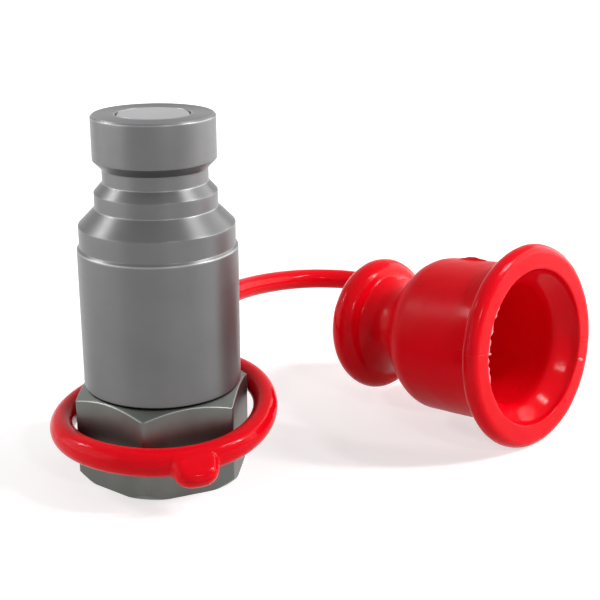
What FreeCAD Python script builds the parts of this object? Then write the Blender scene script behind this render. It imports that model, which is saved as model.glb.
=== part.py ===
import FreeCAD, Part
import math
import os

import Sketcher
from FreeCAD import Placement, Rotation, Vector

# A male flat face hydraulic quick coupler of size 12.5 (half inch) with a dust cap.
# The origin is on the coupler's axis, at the bottom face of its hexagon. +Z runs along
# the axis to the nose. The coupler stands on that face, and the cap lies beside it,
# tied to a ring round the hexagon. All lengths are in millimetres, angles in degrees.

SIZES = {
    # Clearances between pieces that fit together, each on the radius or along the axis
    "running_gap": 0.05,
    "seat_gap": 0.03,
    "thread_gap": 0.05,
    "seal_gap": 0.02,
    "joint_gap": 0.4,
    "end_gap": 0.1,
    # How far a cutting outline runs past the piece that it cuts
    "cut_margin": 1.0,
    # Nose, neck and shoulders of the body, from the top down
    "coupler_height": 74.8,
    "nose_radius": 12.25,
    "nose_length": 8.8,
    "nose_edge": 0.4,
    "neck_radius": 10.5,
    "neck_length": 2.75,
    "shoulder_radius": 12.25,
    "shoulder_rise": 1.95,
    "shoulder_length": 3.1,
    "band_radius": 15.65,
    "band_rise": 3.45,
    "band_length": 4.3,
    "sleeve_radius": 16.15,
    "sleeve_edge": 0.5,
    # Bores of the body
    "nose_bore_radius": 7.35,
    "seat_depth": 8.4,
    "neck_bore_radius": 8.6,
    "chamber_radius": 11.2,
    "chamber_rise": 0.4,
    "seal_bore_radius": 12.6,
    "guide_seat": 40.5,
    "thread_radius": 13.25,
    "thread_top": 30.5,
    "bore_chamfer": 0.6,
    # Hexagonal adapter with its port. The turn is that of the first flat's face
    "hex_height": 19.0,
    "hex_flats": 32.5,
    "hex_corner_radius": 18.65,
    "hex_top_chamfer": 2.85,
    "hex_top_drop": 1.65,
    "hex_foot_chamfer": 1.6,
    "hex_turn": -6.5,
    "port_radius": 9.3155,
    "port_depth": 15.0,
    "port_mouth_radius": 10.6,
    "waterway_radius": 8.25,
    "spigot_clearance": 0.7,
    "thread_relief": 1.2,
    "relief_depth": 0.9,
    "seal_groove_floor": 10.9,
    "seal_groove_base": 31.6,
    "seal_groove_width": 3.1,
    "backup_thickness": 1.1,
    # Valve: face disc, stem, seals, spring and guide
    "face_thickness": 3.2,
    "face_edge": 0.5,
    "face_seal_floor": 5.8,
    "face_seal_width": 2.7,
    "stud_radius": 2.4,
    "stud_length": 2.2,
    "stop_radius": 8.45,
    "stop_thickness": 2.0,
    "spring_pilot_radius": 4.6,
    "spring_pilot_length": 3.0,
    "stem_radius": 2.5,
    "stem_bottom": 34.0,
    "stem_point": 0.5,
    "wire_radius": 0.7,
    "coil_radius": 5.6,
    "coil_count": 8,
    "guide_thickness": 2.8,
    "guide_hub_radius": 4.4,
    "guide_hub_length": 8.4,
    "guide_web_radius": 7.1,
    "guide_window_reach": 10.6,
    "guide_window_narrow": 4.6,
    "guide_window_wide": 6.6,
    "guide_window_count": 6,
    "snap_ring_thickness": 1.0,
    "snap_ring_inner": 11.0,
    "snap_ring_bite": 0.7,
    "snap_ring_opening": 7.0,
    # Dust cap, along its own axis from the back of the knob to the mouth
    "knob_radius": 15.5,
    "knob_round": 3.4,
    "knob_dome": 1.2,
    "waist_length": 10.6,
    "waist_round": 7.1,
    "cup_foot_radius": 11.7,
    "cup_shoulder_length": 6.5,
    "cup_shoulder_round": 7.0,
    "cup_radius": 17.4,
    "cup_mouth_radius": 17.6,
    "flange_radius": 22.3,
    "flange_round": 2.0,
    "flange_reach": 42.4,
    "cup_bore_radius": 13.3,
    "mouth_edge_radius": 17.0,
    "mouth_bowl_round": 2.6,
    "mouth_lip_round": 3.0,
    "cup_depth": 24.9,
    "cup_corner_round": 2.0,
    # How the cap lies: its flange rests on the surface and the tether holds up its knob
    "cap_heading": -44.7,
    "cap_tilt": 7.0,
    "cap_flange_x": 78.07,
    "cap_flange_y": 11.39,
    # Ring round the hexagon, its pull tab, and the tether's section
    "ring_radius": 21.45,
    "ring_round": 2.4,
    "ring_flat": 0.9,
    "ring_height": 11.8,
    "ring_tilt": 5.6,
    "ring_tilt_heading": 55.0,
    "tab_heading": -69.5,
    "tab_radius": 4.5,
    "tab_reach": 23.55,
    "tab_thickness": 4.2,
    "tab_round": 1.6,
    "tether_radius": 2.6,
    "ring_root_length": 3.9,
    "knob_root_length": 6.4,
}

# The tether's route, chosen by hand: out of the ring, in one arch behind the coupler,
# and into the back edge of the knob
TETHER_ROUTE = [
    Vector(-2.1, 24.9, 13.9),
    Vector(-1.2, 42.0, 16.6),
    Vector(7.5, 59.0, 17.6),
    Vector(17.5, 75.0, 16.2),
    Vector(31.5, 86.0, 14.4),
    Vector(47.5, 84.0, 14.1),
    Vector(58.0, 71.0, 12.3),
    Vector(56.7, 55.5, 13.3),
]
ARC_SHARE = 0.45

UP = Vector(0, 0, 1)

doc = FreeCAD.newDocument("flat_face_quick_coupler")
sheet = doc.addObject("Spreadsheet::Sheet", "Sizes")
for row, (name, value) in enumerate(SIZES.items(), start=1):
    sheet.set(f"A{row}", name)
    sheet.set(f"B{row}", str(value))
    sheet.setAlias(f"B{row}", name)
doc.recompute()


class Size:
    """A size: its number, and the expression on the sheet that gives it."""

    def __init__(self, number, text):
        self.number = number
        self.text = text

    def __add__(self, other):
        other = as_size(other)
        return Size(self.number + other.number, f"({self.text} + {other.text})")

    def __sub__(self, other):
        other = as_size(other)
        return Size(self.number - other.number, f"({self.text} - {other.text})")

    def __mul__(self, other):
        other = as_size(other)
        return Size(self.number * other.number, f"({self.text} * {other.text})")

    def __truediv__(self, other):
        other = as_size(other)
        return Size(self.number / other.number, f"({self.text} / {other.text})")

    def __neg__(self):
        return Size(-self.number, f"(0 - {self.text})")


def as_size(value):
    return value if isinstance(value, Size) else Size(float(value), str(float(value)))


class Sizes:
    """Every named size of the sheet, as an attribute."""

    def __init__(self):
        for name in SIZES:
            setattr(self, name, Size(float(sheet.get(name)), f"Sizes.{name}"))


s = Sizes()

# The sine of 45 degrees, for a round that ends on a slope
DIAGONAL = Size(math.sqrt(0.5), "sqrt(0.5)")


# Levels along the coupler's axis that several pieces share

undercut_top = s.coupler_height - s.nose_length
neck_top = undercut_top - (s.nose_radius - s.neck_radius)
neck_bottom = neck_top - s.neck_length
shoulder_top = neck_bottom - s.shoulder_rise
shoulder_bottom = shoulder_top - s.shoulder_length
band_top = shoulder_bottom - s.band_rise
sleeve_top = band_top - s.band_length
chamber_top = band_top + s.chamber_rise
sleeve_bottom = s.hex_height + s.joint_gap
seat_top = s.coupler_height - s.seat_depth
seat_bottom = seat_top - (s.neck_bore_radius - s.nose_bore_radius)
poppet_radius = s.nose_bore_radius - s.running_gap
face_bottom = s.coupler_height - s.face_thickness
face_seal_bottom = face_bottom - s.face_seal_width
stop_edge = seat_bottom + s.neck_bore_radius - s.stop_radius - s.seat_gap
stop_cone_top = seat_bottom + s.neck_bore_radius - poppet_radius - s.seat_gap
stop_bottom = stop_edge - s.stop_thickness
guide_bottom = s.guide_seat - s.guide_thickness
snap_ring_bottom = guide_bottom - s.end_gap - s.snap_ring_thickness
spigot_top = snap_ring_bottom - s.spigot_clearance
spring_length = stop_bottom - s.guide_seat


def bind(thing, path, size):
    """Sets a number on an object and ties it to the sheet."""
    thing.setExpression(path, as_size(size).text)


def origin_feature(body, role):
    """A plane or axis of the body's own frame."""
    return next(feature for feature in body.Origin.OriginFeatures if feature.Role == role)


def arc_between(start, end, radius, left):
    """The arc from start to end that bends to the left, or else to the right."""
    chord = end - start
    half = chord.Length / 2
    rise = math.sqrt(max(radius * radius - half * half, 0.0))
    side = Vector(-chord.y, chord.x, 0).normalize() * (rise if left else -rise)
    centre = (start + end) / 2 + side
    first, last = (start, end) if left else (end, start)
    first_angle = math.atan2(first.y - centre.y, first.x - centre.x)
    last_angle = math.atan2(last.y - centre.y, last.x - centre.x)
    circle = Part.Circle(centre, UP, radius)
    return Part.ArcOfCircle(circle, first_angle, last_angle)


def draw_outline(body, name, role, outline):
    """A closed sketch on a plane of the body. Each entry of the outline is a corner (x, y),
    or (x, y, radius, "left" or "right") where an arc that bends that way leads to it."""
    sketch = body.newObject("Sketcher::SketchObject", name)
    sketch.AttachmentSupport = [(origin_feature(body, role), "")]
    sketch.MapMode = "FlatFace"
    corners = [(as_size(entry[0]), as_size(entry[1])) for entry in outline]
    places = [Vector(x.number, y.number, 0) for x, y in corners]
    ends = []
    for index, entry in enumerate(outline):
        start = places[index - 1]
        end = places[index]
        if len(entry) == 2:
            edge = sketch.addGeometry(Part.LineSegment(start, end), False)
            ends.append((edge, 1, 2))
            continue
        radius = as_size(entry[2])
        left = entry[3] == "left"
        edge = sketch.addGeometry(arc_between(start, end, radius.number, left), False)
        ends.append((edge, 1, 2) if left else (edge, 2, 1))
        rule = sketch.addConstraint(Sketcher.Constraint("Radius", edge, radius.number))
        bind(sketch, f"Constraints[{rule}]", radius)
    for index, (x, y) in enumerate(corners):
        edge, _, end_point = ends[index]
        next_edge, next_start, _ = ends[(index + 1) % len(ends)]
        sketch.addConstraint(
            Sketcher.Constraint("Coincident", edge, end_point, next_edge, next_start))
        for kind, axis, size in (("DistanceX", -2, x), ("DistanceY", -1, y)):
            if size.number == 0:
                sketch.addConstraint(
                    Sketcher.Constraint("PointOnObject", edge, end_point, axis))
                continue
            rule = sketch.addConstraint(
                Sketcher.Constraint(kind, -1, 1, edge, end_point, size.number))
            bind(sketch, f"Constraints[{rule}]", size)
    return sketch


def turned_body(label, outline):
    """A body turned about its own Z axis from a section of corners (radius, height)."""
    body = doc.addObject("PartDesign::Body", label)
    body.Label = label
    sketch = draw_outline(body, label + "_section", "XZ_Plane", outline)
    turn = body.newObject("PartDesign::Revolution", label + "_turn")
    turn.Profile = sketch
    turn.ReferenceAxis = (sketch, ["V_Axis"])
    turn.Angle = 360
    sketch.Visibility = False
    doc.recompute()
    return body


def cut_pocket(body, name, outline, top, copies=1):
    """Cuts an outline from the XY plane up to a level, and repeats it about the Z axis."""
    volume = body.Shape.Volume
    sketch = draw_outline(body, name + "_outline", "XY_Plane", outline)
    pocket = body.newObject("PartDesign::Pocket", name)
    pocket.Profile = sketch
    bind(pocket, "Length", top)
    pocket.Reversed = True
    sketch.Visibility = False
    doc.recompute()
    if copies > 1:
        pattern = body.newObject("PartDesign::PolarPattern", name + "_pattern")
        pattern.Originals = [pocket]
        pattern.Axis = (origin_feature(body, "Z_Axis"), [""])
        pattern.Angle = 360
        pattern.Occurrences = copies
        body.Tip = pattern
        doc.recompute()
    if body.Shape.Volume >= volume:
        raise RuntimeError(f"{name} cuts nothing")


def seal_ring(label, floor, wall, height):
    """A round rubber ring between a groove's floor and the bore's wall round it."""
    ring = doc.addObject("Part::Torus", label)
    ring.Label = label
    bind(ring, "Radius1", (floor + wall) / 2)
    bind(ring, "Radius2", (wall - floor) / 2 - s.seal_gap)
    bind(ring, "Placement.Base.z", height)
    return ring


def backup_ring(label, floor, wall, bottom):
    """A flat hard ring beside a seal."""
    return turned_body(label, [
        (floor + s.seal_gap, bottom),
        (wall - s.seal_gap, bottom),
        (wall - s.seal_gap, bottom + s.backup_thickness),
        (floor + s.seal_gap, bottom + s.backup_thickness),
    ])


# The coupler's steel pieces

def nipple_body():
    """The turned body: nose, undercut neck, two shoulders and the long sleeve."""
    return turned_body("nipple_body", [
        (s.nose_bore_radius, s.coupler_height),
        (s.nose_radius - s.nose_edge, s.coupler_height),
        (s.nose_radius, s.coupler_height - s.nose_edge),
        (s.nose_radius, undercut_top),
        (s.neck_radius, neck_top),
        (s.neck_radius, neck_bottom),
        (s.shoulder_radius, shoulder_top),
        (s.shoulder_radius, shoulder_bottom),
        (s.band_radius, band_top),
        (s.band_radius, sleeve_top),
        (s.sleeve_radius, sleeve_top - s.sleeve_edge),
        (s.sleeve_radius, sleeve_bottom),
        (s.thread_radius + s.bore_chamfer, sleeve_bottom),
        (s.thread_radius, sleeve_bottom + s.bore_chamfer),
        (s.thread_radius, s.thread_top),
        (s.seal_bore_radius, s.thread_top + s.bore_chamfer),
        (s.seal_bore_radius, snap_ring_bottom - s.end_gap),
        (s.seal_bore_radius + s.snap_ring_bite, snap_ring_bottom - s.end_gap),
        (s.seal_bore_radius + s.snap_ring_bite, guide_bottom),
        (s.seal_bore_radius, guide_bottom),
        (s.seal_bore_radius, s.guide_seat),
        (s.chamber_radius, s.guide_seat),
        (s.chamber_radius, chamber_top),
        (s.neck_bore_radius, chamber_top + s.chamber_radius - s.neck_bore_radius),
        (s.neck_bore_radius, seat_bottom),
        (s.nose_bore_radius, seat_top),
    ])


def rear_adapter():
    """The hexagonal adapter: port thread below, and a threaded and sealed spigot above."""
    thread = s.thread_radius - s.thread_gap
    relief = s.thread_radius - s.relief_depth
    spigot = s.seal_bore_radius - s.running_gap
    groove_top = s.seal_groove_base + s.seal_groove_width
    body = turned_body("rear_adapter", [
        (s.port_mouth_radius, 0),
        (s.hex_corner_radius - s.hex_foot_chamfer, 0),
        (s.hex_corner_radius, s.hex_foot_chamfer),
        (s.hex_corner_radius, s.hex_height - s.hex_top_drop),
        (s.hex_corner_radius - s.hex_top_chamfer, s.hex_height),
        (thread, s.hex_height),
        (thread, s.thread_top - s.thread_relief),
        (relief, s.thread_top - s.thread_relief),
        (relief, s.thread_top + s.bore_chamfer),
        (spigot, s.thread_top + s.bore_chamfer),
        (spigot, s.seal_groove_base),
        (s.seal_groove_floor, s.seal_groove_base),
        (s.seal_groove_floor, groove_top),
        (spigot, groove_top),
        (spigot, spigot_top - s.bore_chamfer),
        (spigot - s.bore_chamfer, spigot_top),
        (s.waterway_radius, spigot_top),
        (s.waterway_radius, s.port_depth + s.port_radius - s.waterway_radius),
        (s.port_radius, s.port_depth),
        (s.port_radius, s.port_mouth_radius - s.port_radius),
    ])
    outside = s.hex_corner_radius + s.cut_margin
    cut_pocket(body, "hex_flat", [
        (s.hex_flats / 2, -outside),
        (outside, -outside),
        (outside, outside),
        (s.hex_flats / 2, outside),
    ], s.hex_height, copies=6)
    body.Placement = Placement(Vector(), Rotation(UP, s.hex_turn.number))
    return body


# The valve inside

def poppet_stem():
    """The poppet below its face disc: seal seat, stop shoulder, spring pilot and stem."""
    pilot_bottom = stop_bottom - s.spring_pilot_length
    stud_top = face_bottom + s.stud_length
    return turned_body("poppet_stem", [
        (0, s.stem_bottom),
        (s.stem_radius - s.stem_point, s.stem_bottom),
        (s.stem_radius, s.stem_bottom + s.stem_point),
        (s.stem_radius, pilot_bottom),
        (s.spring_pilot_radius, pilot_bottom),
        (s.spring_pilot_radius, stop_bottom),
        (s.stop_radius, stop_bottom),
        (s.stop_radius, stop_edge),
        (poppet_radius, stop_cone_top),
        (poppet_radius, face_seal_bottom),
        (s.face_seal_floor, face_seal_bottom),
        (s.face_seal_floor, face_bottom),
        (s.stud_radius, face_bottom),
        (s.stud_radius, stud_top),
        (0, stud_top),
    ])


def poppet_face():
    """The flush disc in the nose, screwed on the stem's stud so that it traps the seal."""
    stud_hole = s.stud_radius + s.thread_gap
    hole_top = face_bottom + s.stud_length + s.end_gap
    return turned_body("poppet_face", [
        (stud_hole, face_bottom),
        (poppet_radius, face_bottom),
        (poppet_radius, s.coupler_height - s.face_edge),
        (poppet_radius - s.face_edge, s.coupler_height),
        (0, s.coupler_height),
        (0, hole_top),
        (stud_hole, hole_top),
    ])


def poppet_seals():
    """The round seal on the pressure side, and the hard ring above it."""
    floor = s.face_seal_floor
    wall = s.nose_bore_radius
    centre = face_seal_bottom + (wall - floor) / 2
    backup_bottom = face_bottom - s.backup_thickness - s.seal_gap
    return [
        seal_ring("poppet_o_ring", floor, wall, centre),
        backup_ring("poppet_backup_ring", floor, wall, backup_bottom),
    ]


def adapter_seals():
    """The round seal on the pressure side, and the hard ring below it."""
    floor = s.seal_groove_floor
    wall = s.seal_bore_radius
    centre = s.seal_groove_base + s.seal_groove_width - (wall - floor) / 2
    return [
        seal_ring("adapter_o_ring", floor, wall, centre),
        backup_ring("adapter_backup_ring", floor, wall, s.seal_groove_base + s.seal_gap),
    ]


def return_spring():
    """The coil spring between the guide and the poppet. It is wound half a turn longer at
    each end and ground flat to its length."""
    pitch = spring_length / s.coil_count
    helix = doc.addObject("Part::Helix", "spring_line")
    bind(helix, "Radius", s.coil_radius)
    bind(helix, "Height", spring_length + pitch)
    bind(helix, "Pitch", pitch)
    bind(helix, "Placement.Base.z", -(pitch / 2))
    wire = doc.addObject("Part::Circle", "spring_wire")
    bind(wire, "Radius", s.wire_radius)
    wire.Placement = Placement(Vector(), Rotation(Vector(1, 0, 0), 90))
    bind(wire, "Placement.Base.x", s.coil_radius)
    bind(wire, "Placement.Base.z", -(pitch / 2))
    coil = doc.addObject("Part::Sweep", "spring_coil")
    coil.Sections = [wire]
    coil.Spine = (helix, ["Edge1"])
    coil.Solid = True
    coil.Frenet = True
    span = doc.addObject("Part::Cylinder", "spring_span")
    bind(span, "Radius", s.coil_radius + s.wire_radius * 2)
    bind(span, "Height", spring_length)
    spring = doc.addObject("Part::Common", "return_spring")
    spring.Label = "return_spring"
    spring.Base = coil
    spring.Tool = span
    bind(spring, "Placement.Base.z", s.guide_seat)
    return spring


def valve_guide():
    """The windowed disc that seats the spring, with the hub that centres the stem."""
    hole = s.stem_radius + s.running_gap
    rim = s.seal_bore_radius - s.running_gap
    hub_top = guide_bottom + s.guide_hub_length
    body = turned_body("valve_guide", [
        (hole, guide_bottom),
        (rim, guide_bottom),
        (rim, s.guide_seat),
        (s.guide_hub_radius, s.guide_seat),
        (s.guide_hub_radius, hub_top),
        (hole, hub_top),
    ])
    cut_pocket(body, "guide_window", [
        (s.guide_web_radius, -(s.guide_window_narrow / 2)),
        (s.guide_window_reach, -(s.guide_window_wide / 2)),
        (s.guide_window_reach, s.guide_window_wide / 2),
        (s.guide_web_radius, s.guide_window_narrow / 2),
    ], s.guide_seat + s.cut_margin, copies=int(s.guide_window_count.number))
    return body


def guide_retaining_ring():
    """The open snap ring in the body's groove, under the guide."""
    outer = s.seal_bore_radius + s.snap_ring_bite - s.running_gap
    snap_ring_top = snap_ring_bottom + s.snap_ring_thickness
    body = turned_body("guide_retaining_ring", [
        (s.snap_ring_inner, snap_ring_bottom),
        (outer, snap_ring_bottom),
        (outer, snap_ring_top),
        (s.snap_ring_inner, snap_ring_top),
    ])
    outside = outer + s.cut_margin
    inside = s.snap_ring_inner / 2
    cut_pocket(body, "snap_ring_gap", [
        (inside, -(s.snap_ring_opening / 2)),
        (outside, -(s.snap_ring_opening / 2)),
        (outside, s.snap_ring_opening / 2),
        (inside, s.snap_ring_opening / 2),
    ], snap_ring_top + s.cut_margin)
    return body


# The red dust cap, its tether and its ring

def root_stub(name, length, start, direction):
    """A short round root that the tether's end face meets."""
    stub = doc.addObject("Part::Cylinder", name)
    bind(stub, "Radius", s.tether_radius)
    bind(stub, "Height", length)
    stub.Placement = Placement(start, Rotation(UP, direction))
    return stub


def dust_cap():
    """Knob, waist, cup and flange in one moulding, open at the mouth."""
    knob_plane = s.knob_dome + s.knob_round
    knob_front = knob_plane + s.knob_round
    cup_foot = knob_front + s.waist_length
    flange_plane = knob_plane + s.flange_reach
    flange_back = flange_plane - s.flange_round
    mouth = flange_plane + s.flange_round
    dome_edge = s.knob_radius - s.knob_round
    dome_radius = (dome_edge * dome_edge + s.knob_dome * s.knob_dome) / (s.knob_dome * 2)
    bead = s.flange_radius - s.flange_round
    flare = bead - s.cup_mouth_radius
    floor = mouth - s.cup_depth
    slope_top = s.mouth_edge_radius - s.mouth_bowl_round + s.mouth_bowl_round * DIAGONAL
    slope_start = mouth - s.mouth_bowl_round * DIAGONAL
    slope_foot = s.cup_bore_radius + s.mouth_lip_round - s.mouth_lip_round * DIAGONAL
    slope_end = slope_start - (slope_top - slope_foot)
    moulding = turned_body("cap_moulding", [
        (0, 0),
        (dome_edge, s.knob_dome, dome_radius, "left"),
        (s.knob_radius, knob_plane, s.knob_round, "left"),
        (dome_edge, knob_front, s.knob_round, "left"),
        (s.cup_foot_radius, cup_foot, s.waist_round, "right"),
        (s.cup_radius, cup_foot + s.cup_shoulder_length, s.cup_shoulder_round, "left"),
        (s.cup_mouth_radius, flange_back - flare),
        (bead, flange_back, flare, "right"),
        (s.flange_radius, flange_plane, s.flange_round, "left"),
        (bead, mouth, s.flange_round, "left"),
        (s.mouth_edge_radius, mouth),
        (slope_top, slope_start, s.mouth_bowl_round, "right"),
        (slope_foot, slope_end),
        (s.cup_bore_radius, slope_end - s.mouth_lip_round * DIAGONAL, s.mouth_lip_round, "left"),
        (s.cup_bore_radius, floor + s.cup_corner_round),
        (s.cup_bore_radius - s.cup_corner_round, floor, s.cup_corner_round, "right"),
        (0, floor),
    ])
    heading = math.radians(s.cap_heading.number)
    tilt = math.radians(s.cap_tilt.number)
    axis = Vector(math.cos(tilt) * math.cos(heading), math.cos(tilt) * math.sin(heading),
                  math.sin(tilt))
    flange_height = bead.number * math.cos(tilt) + s.flange_round.number
    flange_centre = Vector(s.cap_flange_x.number, s.cap_flange_y.number, flange_height)
    moulding.Placement = Placement(flange_centre - axis * flange_plane.number,
                                   Rotation(UP, axis))
    into_knob = TETHER_ROUTE[-1] - TETHER_ROUTE[-2]
    cap = doc.addObject("Part::MultiFuse", "dust_cap")
    cap.Label = "dust_cap"
    cap.Shapes = [moulding, root_stub("knob_root", s.knob_root_length, TETHER_ROUTE[-1],
                                      into_knob)]
    return cap


def tether_ring():
    """The ring that hangs round the hexagon, a little higher at the back, and its tab."""
    heading = math.radians(s.ring_tilt_heading.number)
    lean = Placement(Vector(0, 0, s.ring_height.number),
                     Rotation(Vector(math.sin(heading), -math.cos(heading), 0),
                              s.ring_tilt.number))
    inner = s.ring_radius - s.ring_round
    outer = s.ring_radius + s.ring_round
    half_flat = s.ring_flat / 2
    half_height = half_flat + s.ring_round
    hoop = turned_body("ring_hoop", [
        (outer, -half_flat, s.ring_round, "left"),
        (outer, half_flat),
        (s.ring_radius, half_height, s.ring_round, "left"),
        (inner, half_flat, s.ring_round, "left"),
        (inner, -half_flat),
        (s.ring_radius, -half_height, s.ring_round, "left"),
    ])
    hoop.Placement = lean
    tab = turned_body("ring_tab", [
        (0, 0),
        (s.tab_radius - s.tab_round, 0),
        (s.tab_radius, s.tab_round, s.tab_round, "left"),
        (s.tab_radius, s.tab_thickness - s.tab_round),
        (s.tab_radius - s.tab_round, s.tab_thickness, s.tab_round, "left"),
        (0, s.tab_thickness),
    ])
    side = math.radians(s.tab_heading.number)
    reach = s.tab_reach.number
    tab.Placement = lean * Placement(
        Vector(reach * math.cos(side), reach * math.sin(side), -s.tab_thickness.number / 2),
        Rotation())
    into_ring = TETHER_ROUTE[0] - TETHER_ROUTE[1]
    ring = doc.addObject("Part::MultiFuse", "tether_ring")
    ring.Label = "tether_ring"
    ring.Shapes = [hoop, tab, root_stub("ring_root", s.ring_root_length, TETHER_ROUTE[0],
                                        into_ring)]
    return ring


def tether_cord():
    """A plain tube: straight runs along the route, joined by tangent arcs."""
    edges = []
    radii = []
    start = TETHER_ROUTE[0]
    for before, corner, after in zip(TETHER_ROUTE, TETHER_ROUTE[1:], TETHER_ROUTE[2:]):
        back = before - corner
        ahead = after - corner
        reach = ARC_SHARE * min(back.Length, ahead.Length)
        half_turn = (math.pi - back.getAngle(ahead)) / 2
        radius = reach / math.tan(half_turn)
        radii.append(radius)
        back.normalize()
        ahead.normalize()
        first = corner + back * reach
        last = corner + ahead * reach
        to_centre = (back + ahead).normalize()
        centre = corner + to_centre * math.hypot(radius, reach)
        middle = centre - to_centre * radius
        edges.append(Part.LineSegment(start, first).toShape())
        edges.append(Part.Arc(first, middle, last).toShape())
        start = last
    edges.append(Part.LineSegment(start, TETHER_ROUTE[-1]).toShape())
    path = Part.Wire(edges)
    section_radius = s.tether_radius.number
    section = Part.Wire([Part.makeCircle(section_radius, TETHER_ROUTE[0],
                                         TETHER_ROUTE[1] - TETHER_ROUTE[0])])
    cord = doc.addObject("Part::Feature", "tether_cord")
    cord.Label = "tether_cord"
    cord.Shape = path.makePipeShell([section], True, False)
    cord.Placement = Placement()
    plain_volume = math.pi * section_radius ** 2 * path.Length
    print("tether arcs, radius in mm:", " ".join(f"{radius:.1f}" for radius in radii))
    print(f"tether length {path.Length:.1f} mm, volume {cord.Shape.Volume:.0f} mm3,"
          f" section times length {plain_volume:.0f} mm3")
    return cord


nodes = [
    nipple_body(),
    rear_adapter(),
    poppet_stem(),
    poppet_face(),
    *poppet_seals(),
    return_spring(),
    valve_guide(),
    guide_retaining_ring(),
    *adapter_seals(),
    dust_cap(),
    tether_ring(),
    tether_cord(),
]

doc.recompute()
for thing in doc.Objects:
    if "Invalid" in thing.State or "Error" in thing.State:
        raise RuntimeError(f"{thing.Name} failed: {thing.State}")
for node in nodes:
    if node.Shape.isNull() or not node.Shape.isValid() or len(node.Shape.Solids) != 1:
        raise RuntimeError(f"{node.Label} has no single valid solid")

os.makedirs("parts", exist_ok=True)
for node in nodes:
    node.Shape.exportStep(f"parts/{node.Label}.step")
    print(f"{node.Label}: {node.Shape.Volume:.1f} mm3")
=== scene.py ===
import math

import bpy
from mathutils import Matrix, Vector, noise
from mathutils.bvhtree import BVHTree


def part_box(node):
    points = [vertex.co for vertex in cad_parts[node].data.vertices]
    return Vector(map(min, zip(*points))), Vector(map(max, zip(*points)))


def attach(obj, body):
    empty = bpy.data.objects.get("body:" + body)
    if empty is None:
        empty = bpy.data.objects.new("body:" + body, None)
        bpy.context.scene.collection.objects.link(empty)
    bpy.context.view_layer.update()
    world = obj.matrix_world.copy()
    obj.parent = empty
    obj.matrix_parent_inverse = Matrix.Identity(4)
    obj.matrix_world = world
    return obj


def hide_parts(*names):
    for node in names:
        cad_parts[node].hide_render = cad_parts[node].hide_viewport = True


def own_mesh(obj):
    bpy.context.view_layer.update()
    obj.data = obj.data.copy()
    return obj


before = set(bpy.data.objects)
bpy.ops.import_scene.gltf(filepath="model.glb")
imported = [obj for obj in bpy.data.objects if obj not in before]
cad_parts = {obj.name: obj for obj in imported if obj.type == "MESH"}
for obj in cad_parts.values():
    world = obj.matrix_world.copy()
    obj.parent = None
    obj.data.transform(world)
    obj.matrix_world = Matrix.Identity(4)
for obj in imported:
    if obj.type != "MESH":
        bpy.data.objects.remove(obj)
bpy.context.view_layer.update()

# A male flat face quick coupler that stands on its hexagon, with its red dust cap beside it.
# Lengths below are in millimetres and turn into metres where a mesh is made.

MM = 0.001
TAU = 2 * math.pi


def top(node):
    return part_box(node)[1] / MM


def bottom(node):
    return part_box(node)[0] / MM


# Sizes of the steel pieces, from the frame where it gives them

HEIGHT = top("nipple_body").z
SLEEVE_RADIUS = top("nipple_body").x
SLEEVE_BOTTOM = bottom("nipple_body").z
NOSE_RADIUS = 12.25
NOSE_EDGE = 0.4
NOSE_BOTTOM = HEIGHT - 8.8
NECK_RADIUS = 10.5
NECK_TOP = NOSE_BOTTOM - (NOSE_RADIUS - NECK_RADIUS)
NECK_BOTTOM = NECK_TOP - 2.75
SHOULDER_RADIUS = 12.25
SHOULDER_TOP = NECK_BOTTOM - 1.95
SHOULDER_BOTTOM = SHOULDER_TOP - 3.1
BAND_RADIUS = 15.65
BAND_TOP = SHOULDER_BOTTOM - 3.45
SLEEVE_TOP = BAND_TOP - 4.3
SLEEVE_EDGE = 0.5
NOSE_BORE = 7.35
NECK_BORE = 8.6
SEAT_TOP = HEIGHT - 8.4
CHAMBER_RADIUS = 11.2
CHAMBER_TOP = BAND_TOP + 0.4
SEAL_BORE = top("valve_guide").x + 0.05
GUIDE_SEAT = 40.5
GUIDE_BOTTOM = bottom("valve_guide").z
THREAD_BORE = 13.25
THREAD_CHAMFER = 0.6
THREAD_TOP = 30.5

HEX_HEIGHT = 19.0
HEX_HALF = 16.25
HEX_CORNER = 18.65
HEX_TOP_CHAMFER = 2.85
HEX_TOP_DROP = 1.65
HEX_FOOT_CHAMFER = 1.6
HEX_TURN = math.radians(-6.5)
HEX_CUT_START = HEX_HALF - 1.2
PORT_RADIUS = 9.3155
PORT_ROOT_RADIUS = 10.4775
PORT_PITCH = 1.814
PORT_DEPTH = 15.0
PORT_MOUTH = 10.6
WATERWAY = 8.25
SPIGOT_TOP = top("rear_adapter").z
SPIGOT_RADIUS = 12.55
SPIGOT_THREAD_RADIUS = THREAD_BORE - 0.05
SPIGOT_THREAD_TOP = THREAD_TOP - 1.2

FACE_RADIUS = top("poppet_face").x
FACE_BOTTOM = bottom("poppet_face").z
FACE_EDGE = 0.5

# Dust cap, with reaches along its axis that start at the plane of the knob's rim

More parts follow.
